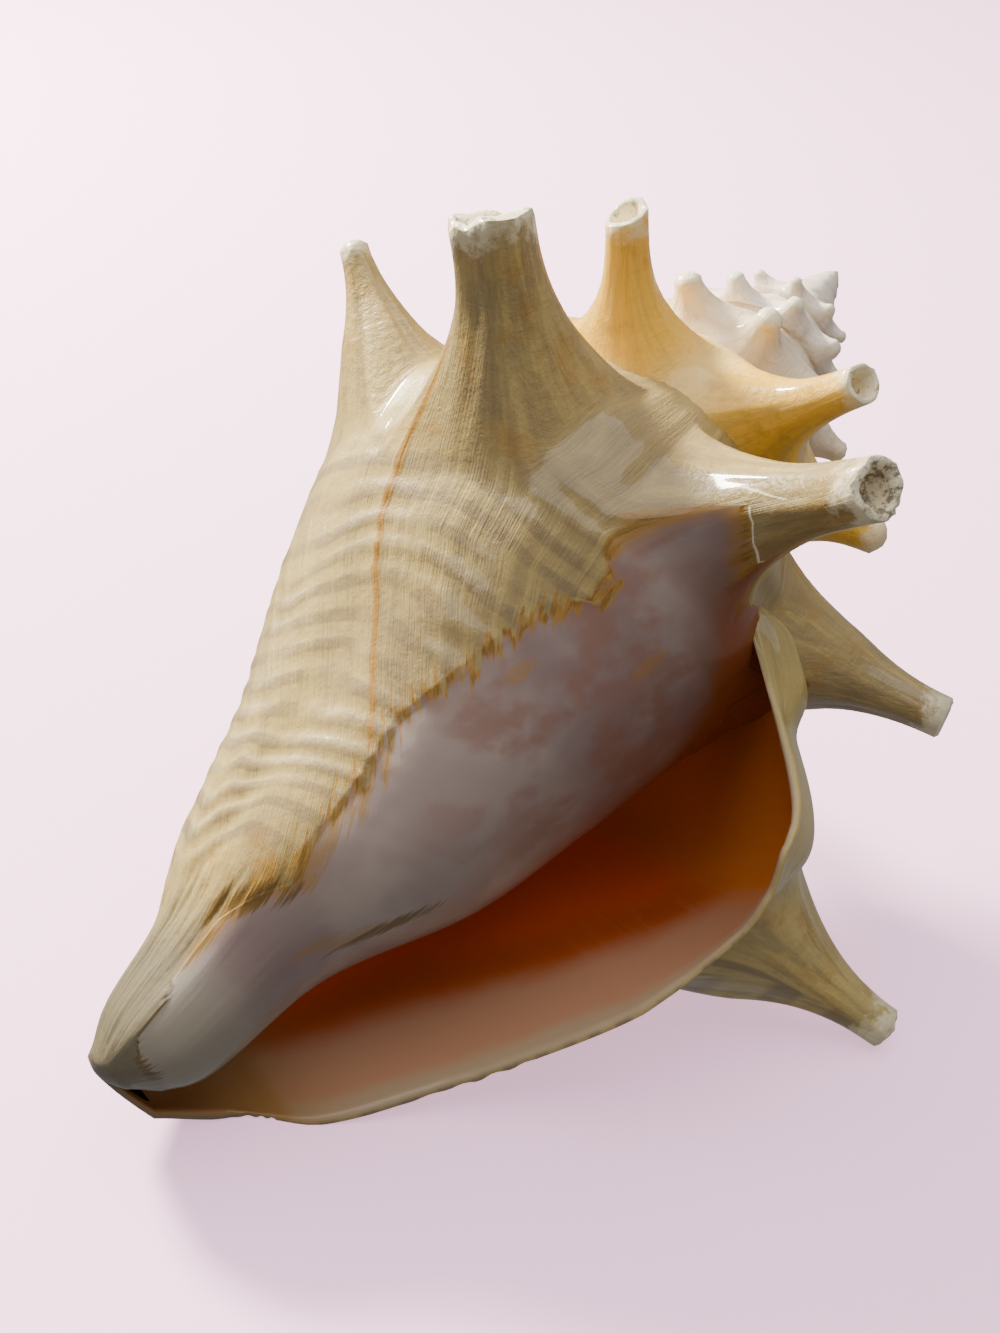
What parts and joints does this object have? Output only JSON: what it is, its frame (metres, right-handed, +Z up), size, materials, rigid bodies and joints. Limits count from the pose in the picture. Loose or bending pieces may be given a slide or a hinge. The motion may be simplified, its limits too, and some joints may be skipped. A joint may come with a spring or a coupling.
{
  "type": "queen conch shell",
  "caption": "Large spiral sea shell with long hollow shoulder spines, a low stepped spire and a wide glossy opening; lies free on a table or shelf as an ornament",
  "frame": {"origin": "on the surface it rests on, under the middle of the bounding box", "axes": "+Z is up. The spire points to +X and a little back and up, the front end to -X. The opening faces -Y and up, so the picture looks along +Y and down at about 33 degrees"},
  "size_m": [0.1318, 0.1274, 0.1278],
  "materials": {
    "shell": "polished natural shell: cream outside with grey-brown spiral bands, yellow to lilac spire, lilac-grey glaze with amber edge beside an orange-brown to pink opening"
  },
  "bodies": {
    "root": {"shell": "shell"}
  },
  "joints": []
}
